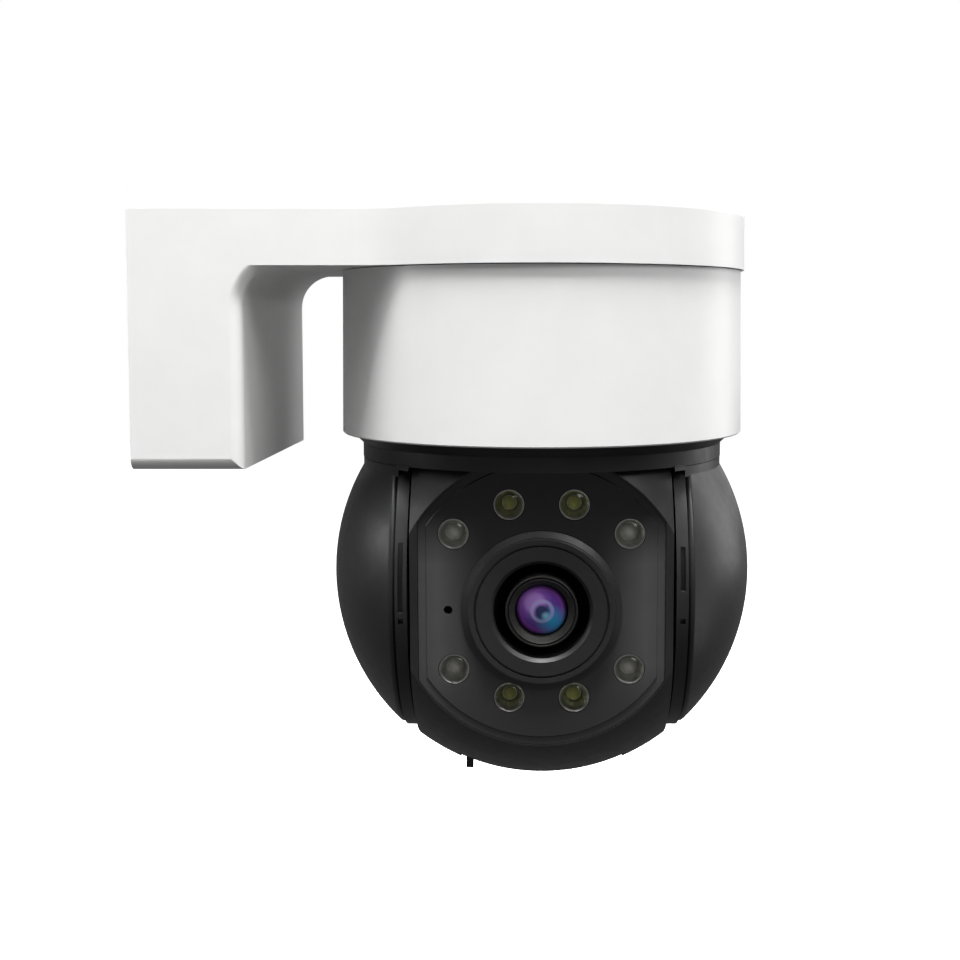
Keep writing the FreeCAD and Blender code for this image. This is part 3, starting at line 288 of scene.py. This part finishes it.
def coated_look():
    """Coated front lens: painted violet, blue and cyan reflections, a painted highlight and a painted ring
    reflection over a dark core.
    """
    look = Look("coated_glass", Coat_Weight=0.4, Coat_Roughness=0.03, Roughness=0.12, Specular_IOR_Level=0.25)

    def disc(centre, stops):
        return look.ramp(look.math("MULTIPLY", lens_radius(look, centre), 1.0 / GLASS_R), stops)

    def fade(inner, outer, strength=1.0):
        return [(inner, (strength,) * 3), (outer, (0.0, 0.0, 0.0))]

    # Painted reflections of the inner lens elements: violet and blue rings round a dark centre.
    rings = disc((0.0, 0.0), [(0.00, (0.012, 0.012, 0.07)), (0.24, (0.02, 0.02, 0.11)),
                              (0.34, (0.16, 0.11, 0.32)), (0.42, (0.09, 0.05, 0.26)),
                              (0.70, (0.12, 0.03, 0.30)), (0.80, (0.22, 0.05, 0.36)),
                              (0.90, (0.09, 0.02, 0.17)), (0.97, (0.004, 0.003, 0.010))])
    # Painted reflections in the coating: violet towards the upper left, cyan towards the lower right.
    violet = disc((-2.0, 2.2), fade(0.30, 0.78, 0.85))
    pattern = look.mix(violet, rings, (0.26, 0.10, 0.44))
    cyan = disc((2.5, -2.6), fade(0.12, 0.70))
    pattern = look.mix(cyan, pattern, (0.02, 0.26, 0.52))
    # Painted highlight: a soft pale circle at the upper left.
    painted_highlight = disc((-1.5, 1.6), [(0.30, (0.75,) * 3), (0.40, (0.35,) * 3), (0.46, (0.0,) * 3)])
    pattern = look.mix(painted_highlight, pattern, (0.40, 0.22, 0.60))
    # Painted reflection: a pale ring around the centre.
    painted_ring_reflection = disc((0.1, -0.1), [(0.30, (0.0,) * 3), (0.36, (0.65,) * 3),
                              (0.42, (0.65,) * 3), (0.48, (0.0,) * 3)])
    pattern = look.mix(painted_ring_reflection, pattern, (0.34, 0.36, 0.62))
    core = disc((0.0, -0.2), fade(0.20, 0.31))
    pattern = look.mix(core, pattern, (0.010, 0.020, 0.10))
    # Painted reflection: a small cyan spot just below and right of the centre.
    painted_cyan_reflection = disc((0.9, -1.1), fade(0.05, 0.20, 0.8))
    pattern = look.mix(painted_cyan_reflection, pattern, (0.20, 0.50, 0.66))
    edge = disc((0.0, 0.0), [(0.90, (0.0,) * 3), (0.97, (1.0,) * 3)])
    look.colour(look.mix(edge, pattern, (0.003, 0.003, 0.006)))
    look.bump(look.noise(2.0, 0.0), 0.001)
    return look.material


COATED = coated_look()


def clear_look():
    """Clear moulded lamp lens: mostly seen through, with glossy edges."""
    look = Look("clear_dome")
    look.tree.nodes.remove(look.shader)
    through = look.add("ShaderNodeBsdfTransparent")
    gloss = look.add("ShaderNodeBsdfGlossy")
    gloss.inputs["Roughness"].default_value = 0.10
    edge = look.add("ShaderNodeLayerWeight")
    edge.inputs["Blend"].default_value = 0.28
    tint = look.ramp(look.noise(1.0), [(0.3, (0.80, 0.80, 0.76)), (0.7, (0.86, 0.86, 0.83))])
    look.link(tint, through.inputs["Color"])
    mixer = look.add("ShaderNodeMixShader")
    look.link(edge.outputs["Fresnel"], mixer.inputs[0])
    look.link(through.outputs[0], mixer.inputs[1])
    look.link(gloss.outputs[0], mixer.inputs[2])
    look.link(mixer.outputs[0], look.out.inputs["Surface"])
    return look.material


CLEAR = clear_look()
CUP = metal("lamp_cup", (0.50, 0.50, 0.48), 0.36)
PHOSPHOR = moulded("lamp_phosphor", (0.40, 0.42, 0.10), 0.5, 0.15, 0.01, 0.15)
NIGHT_CHIP = moulded("night_lamp_resin", (0.62, 0.62, 0.60), 0.45, 0.2, 0.01, 0.1)

NODE_LOOKS = {
    WHITE: ["bracket_shell", "base_housing"],
    EAR_BLACK: ["left_ear_cover", "right_ear_cover"],
    BLACK: ["yoke_frame", "head_front_shell", "head_rear_shell", "reset_button"],
    WINDOW: ["front_window"],
    COLLAR: ["lens_collar"],
    WELL: ["lens_hood", "microphone", "lens_holder"],
    BARREL: ["lens_barrel", "lens_ring"],
    COATED: ["front_lens", "middle_lens", "rear_lens"],
    RUBBER: ["wall_gasket", "cable_grommet", "seam_seal", "head_seal", "card_door"],
    STEEL: ["wall_plate", "lock_screws", "housing_screws", "pan_motor_screws", "board_screws", "ear_screws",
            "tilt_motor_screws", "head_screws", "led_board_screws", "door_pin", "pan_circlip", "tilt_shaft"],
    CAN: ["pan_motor", "tilt_motor", "speaker"],
    BRASS: ["pan_bush", "left_tilt_bush", "right_tilt_bush"],
    CHASSIS: ["pan_chassis", "head_frame", "tilt_pivot", "filter_shuttle"],
    NYLON: ["pan_gear", "tilt_gear", "pan_pinion", "tilt_pinion"],
    BOARD: ["main_board", "io_board", "sensor_board", "radio_antenna"],
    LAMP_BOARD: ["led_board"],
    PARTS: ["board_parts", "image_sensor"],
    SOCKET: ["card_socket"],
    CLEAR: ["led_lenses"],
    PHOSPHOR: ["white_led_chips"],
    NIGHT_CHIP: ["night_led_chips"],
}

for look, names in NODE_LOOKS.items():
    for name in names:
        mesh = NODES[name].data
        mesh.materials.clear()
        mesh.materials.append(look)
        mesh.polygons.foreach_set("material_index", [0] * len(mesh.polygons))
bare = sorted(set(NODES) - {n for names in NODE_LOOKS.values() for n in names})
if bare:
    raise SystemExit("no look for " + ", ".join(bare))


# ---------------------------------------------------------------- pieces

SMOOTH_BELOW = math.radians(28)


def new_piece(name, points, faces, look, body, slot, matrix=HEAD):
    mesh = bpy.data.meshes.new(name)
    mesh.from_pydata([matrix @ Vector(p) for p in points], [], faces)
    mesh.validate()
    mesh.materials.append(look)
    mesh.shade_smooth()
    mesh.set_sharp_from_angle(angle=SMOOTH_BELOW)
    piece = bpy.data.objects.new(name, mesh)
    bpy.context.scene.collection.objects.link(piece)
    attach(piece, body)
    return piece


def lathe(profiles, centres, segments=72):
    """Points and faces of profiles turned about lines parallel to the lens axis.

    A profile is a list of (radius, depth) in millimetres.
    """
    points = []
    faces = []
    for (cx, cz), profile in zip(centres, profiles):
        rings = []
        for radius, depth in profile:
            if radius == 0:
                rings.append([len(points)])
                points.append((cx * MM, -depth * MM, cz * MM))
                continue
            ring = []
            for k in range(segments):
                a = 2 * math.pi * k / segments
                ring.append(len(points))
                x = cx + radius * math.cos(a)
                z = cz + radius * math.sin(a)
                points.append((x * MM, -depth * MM, z * MM))
            rings.append(ring)
        for low, high in zip(rings, rings[1:]):
            for k in range(segments):
                n = (k + 1) % segments
                quad = [low[k % len(low)], low[n % len(low)], high[n % len(high)], high[k % len(high)]]
                faces.append(tuple(dict.fromkeys(quad)))
    return points, faces


def islands(name):
    """Centres (x, z) in mm, in the head frame, of the separate solids of a CAD node."""
    mesh = NODES[name].data
    inverse = HEAD.inverted()
    group = {}

    def find(key):
        while group[key] != key:
            group[key] = group[group[key]]
            key = group[key]
        return key

    keys = [tuple(round(c * 1e5) for c in v.co) for v in mesh.vertices]
    for key in keys:
        group.setdefault(key, key)
    for polygon in mesh.polygons:
        first = find(keys[polygon.vertices[0]])
        for v in polygon.vertices[1:]:
            group[find(keys[v])] = first
    members = {}
    for key, vertex in zip(keys, mesh.vertices):
        members.setdefault(find(key), []).append(inverse @ vertex.co)
    centres = []
    for cloud in members.values():
        x = (min(p.x for p in cloud) + max(p.x for p in cloud)) / 2 / MM
        z = (min(p.z for p in cloud) + max(p.z for p in cloud)) / 2 / MM
        centres.append((round(x, 3), round(z, 3)))
    return sorted(centres)


LAMP_R = 3.38
LAMP_FRONT = -head_extent("led_lenses")[0].y / MM
LAMP_CAP = 1.5
CUP_BACK = 34.2
WHITE_PLACES = islands("white_led_chips")
NIGHT_PLACES = islands("night_led_chips")
LAMP_PLACES = sorted(WHITE_PLACES + NIGHT_PLACES)


def dome_profile(radius, front, height, steps=10):
    sphere = (radius ** 2 + height ** 2) / (2 * height)
    top = math.asin(radius / sphere)
    arc = []
    for k in range(steps + 1):
        a = top * (1 - k / steps)
        r = sphere * math.sin(a)
        arc.append((0 if k == steps else r, front - sphere + sphere * math.cos(a)))
    return arc


def lamp_piece(name, profile, places, look, slot, segments=72):
    """The same turned profile at each of the places, as one piece on the tilting head."""
    return new_piece(name, *lathe([profile] * len(places), places, segments), look, "tilt_head", slot)


DOME_FIT = 0.985
dome = [(LAMP_R, CUP_BACK + 0.4), (LAMP_R, LAMP_FRONT - LAMP_CAP - 0.15)]
dome += [(r * DOME_FIT, d) for r, d in dome_profile(LAMP_R, LAMP_FRONT, LAMP_CAP)]
domes = lamp_piece("lamp_domes", dome, LAMP_PLACES, CLEAR, "clear_dome")
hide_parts("led_lenses")

cup = [(3.30, 37.2), (3.10, 37.25), (2.85, 36.9), (2.1, 35.2), (1.6, CUP_BACK), (0, CUP_BACK)]
lamp_piece("lamp_cups", cup, LAMP_PLACES, CUP, "lens_metal")

CHIP_SEGMENTS = 40
chip = [(1.45, CUP_BACK), (1.45, 34.6), (1.25, 34.75)] + dome_profile(1.2, 35.0, 0.25, 6)
chips = lamp_piece("white_lamp_chips", chip, WHITE_PLACES, PHOSPHOR, "white_led", CHIP_SEGMENTS)
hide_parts("white_led_chips")
resin = [(1.9, CUP_BACK + 0.1), (1.9, 34.8)] + dome_profile(1.85, 35.6, 0.8, 8)
night = lamp_piece("night_lamp_chips", resin, NIGHT_PLACES, NIGHT_CHIP, "night_led", CHIP_SEGMENTS)
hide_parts("night_led_chips")


# ---------------------------------------------------------------- stage, lights, camera

FLOOR_Z = -0.42
STAGE_HALF = 4.0
STAGE_STEPS = 24
FLOOR_GLOW = 0.9


def studio_floor():
    """A pale floor that stays white to the camera and throws no light on the object."""
    look = Look("studio_floor", Roughness=0.9, Emission_Color=(1.0, 1.0, 1.0, 1.0),
                Emission_Strength=FLOOR_GLOW)
    look.mottle((0.90, 0.90, 0.90), 0.01, 400.0)
    mesh = bpy.data.meshes.new("studio_floor")
    ticks = [STAGE_HALF * (2 * i / STAGE_STEPS - 1) for i in range(STAGE_STEPS + 1)]
    points = [(x, y, FLOOR_Z) for x in ticks for y in ticks]
    row = STAGE_STEPS + 1
    faces = []
    for i in range(STAGE_STEPS):
        for j in range(STAGE_STEPS):
            a = i * row + j
            faces.append((a, a + row, a + row + 1, a + 1))
    mesh.from_pydata(points, [], faces)
    mesh.materials.append(look.material)
    floor = bpy.data.objects.new("studio_floor", mesh)
    bpy.context.scene.collection.objects.link(floor)
    floor.visible_diffuse = False
    floor.visible_glossy = False
    return floor


studio_floor()

AIM = Vector((0.08, 0.0, -0.03))


SOFTBOX_DISTANCE = 1.2
SOFTBOX_WIDTH = 0.6
SOFTBOX_HEIGHT = 0.55


def softbox(name, azimuth, elevation, watts, height=SOFTBOX_HEIGHT):
    """An area light that faces the object. Azimuth 0 is in front (-y), 90 is to the right (+x)."""
    data = bpy.data.lights.new(name, "AREA")
    data.shape = "RECTANGLE"
    data.size = SOFTBOX_WIDTH
    data.size_y = height
    data.energy = watts
    light = bpy.data.objects.new(name, data)
    a = math.radians(azimuth)
    e = math.radians(elevation)
    away = Vector((math.sin(a) * math.cos(e), -math.cos(a) * math.cos(e), math.sin(e)))
    light.location = AIM + away * SOFTBOX_DISTANCE
    light.rotation_mode = "QUATERNION"
    light.rotation_quaternion = away.to_track_quat("Z", "Y")
    bpy.context.scene.collection.objects.link(light)


softbox("top", 0, 85, 94.0)
softbox("front_top", 0, 65, 2.0)
softbox("right_high", 45, 42, 6.1)
softbox("left_high", -60, 60, 4.3)
softbox("back_right_high", 120, 42, 2.2)
softbox("left", -90, 15, 3.4)
softbox("right_low", 90, -20, 0.8)
softbox("back_right", 118, 12, 3.2, height=0.9)
softbox("back", 150, 10, 0.6)
softbox("low", 0, -20, 0.2)

# The studio is white behind the object and dim in its reflections.
AMBIENT = 0.15
BACKDROP = 1.0
world = bpy.data.worlds.new("studio")
bpy.context.scene.world = world
world.use_nodes = True
nodes = world.node_tree.nodes
background = nodes["Background"]
backdrop = nodes.new("ShaderNodeBackground")
background.inputs["Color"].default_value = (1.0, 1.0, 1.0, 1.0)
background.inputs["Strength"].default_value = AMBIENT
backdrop.inputs["Color"].default_value = (1.0, 1.0, 1.0, 1.0)
backdrop.inputs["Strength"].default_value = BACKDROP
seen = nodes.new("ShaderNodeLightPath")
either = nodes.new("ShaderNodeMixShader")
link = world.node_tree.links.new
link(seen.outputs["Is Camera Ray"], either.inputs[0])
link(background.outputs[0], either.inputs[1])
link(backdrop.outputs[0], either.inputs[2])
link(either.outputs[0], nodes["World Output"].inputs["Surface"])

bpy.context.scene.view_settings.view_transform = "Standard"

LENS_MM = 47.26
SENSOR_MM = 36.0
CAMERA_SHIFT = (-0.0656, -0.0833)
CAMERA_CLIP = (0.01, 50.0)
CAMERA_ASIDE = 0.00028
CAMERA_BACK = 0.3072
CAMERA_UP = 0.0013
CAMERA_DOWN_DEGREES = 3.58
camera_data = bpy.data.cameras.new("camera")
camera_data.lens = LENS_MM
camera_data.sensor_width = SENSOR_MM
camera_data.shift_x, camera_data.shift_y = CAMERA_SHIFT
camera_data.clip_start, camera_data.clip_end = CAMERA_CLIP
camera = bpy.data.objects.new("camera", camera_data)
camera.location = (TILT.x + CAMERA_ASIDE, -CAMERA_BACK, CAMERA_UP)
camera.rotation_euler = (math.radians(90 - CAMERA_DOWN_DEGREES), 0.0, 0.0)
bpy.context.scene.collection.objects.link(camera)
bpy.context.scene.camera = camera
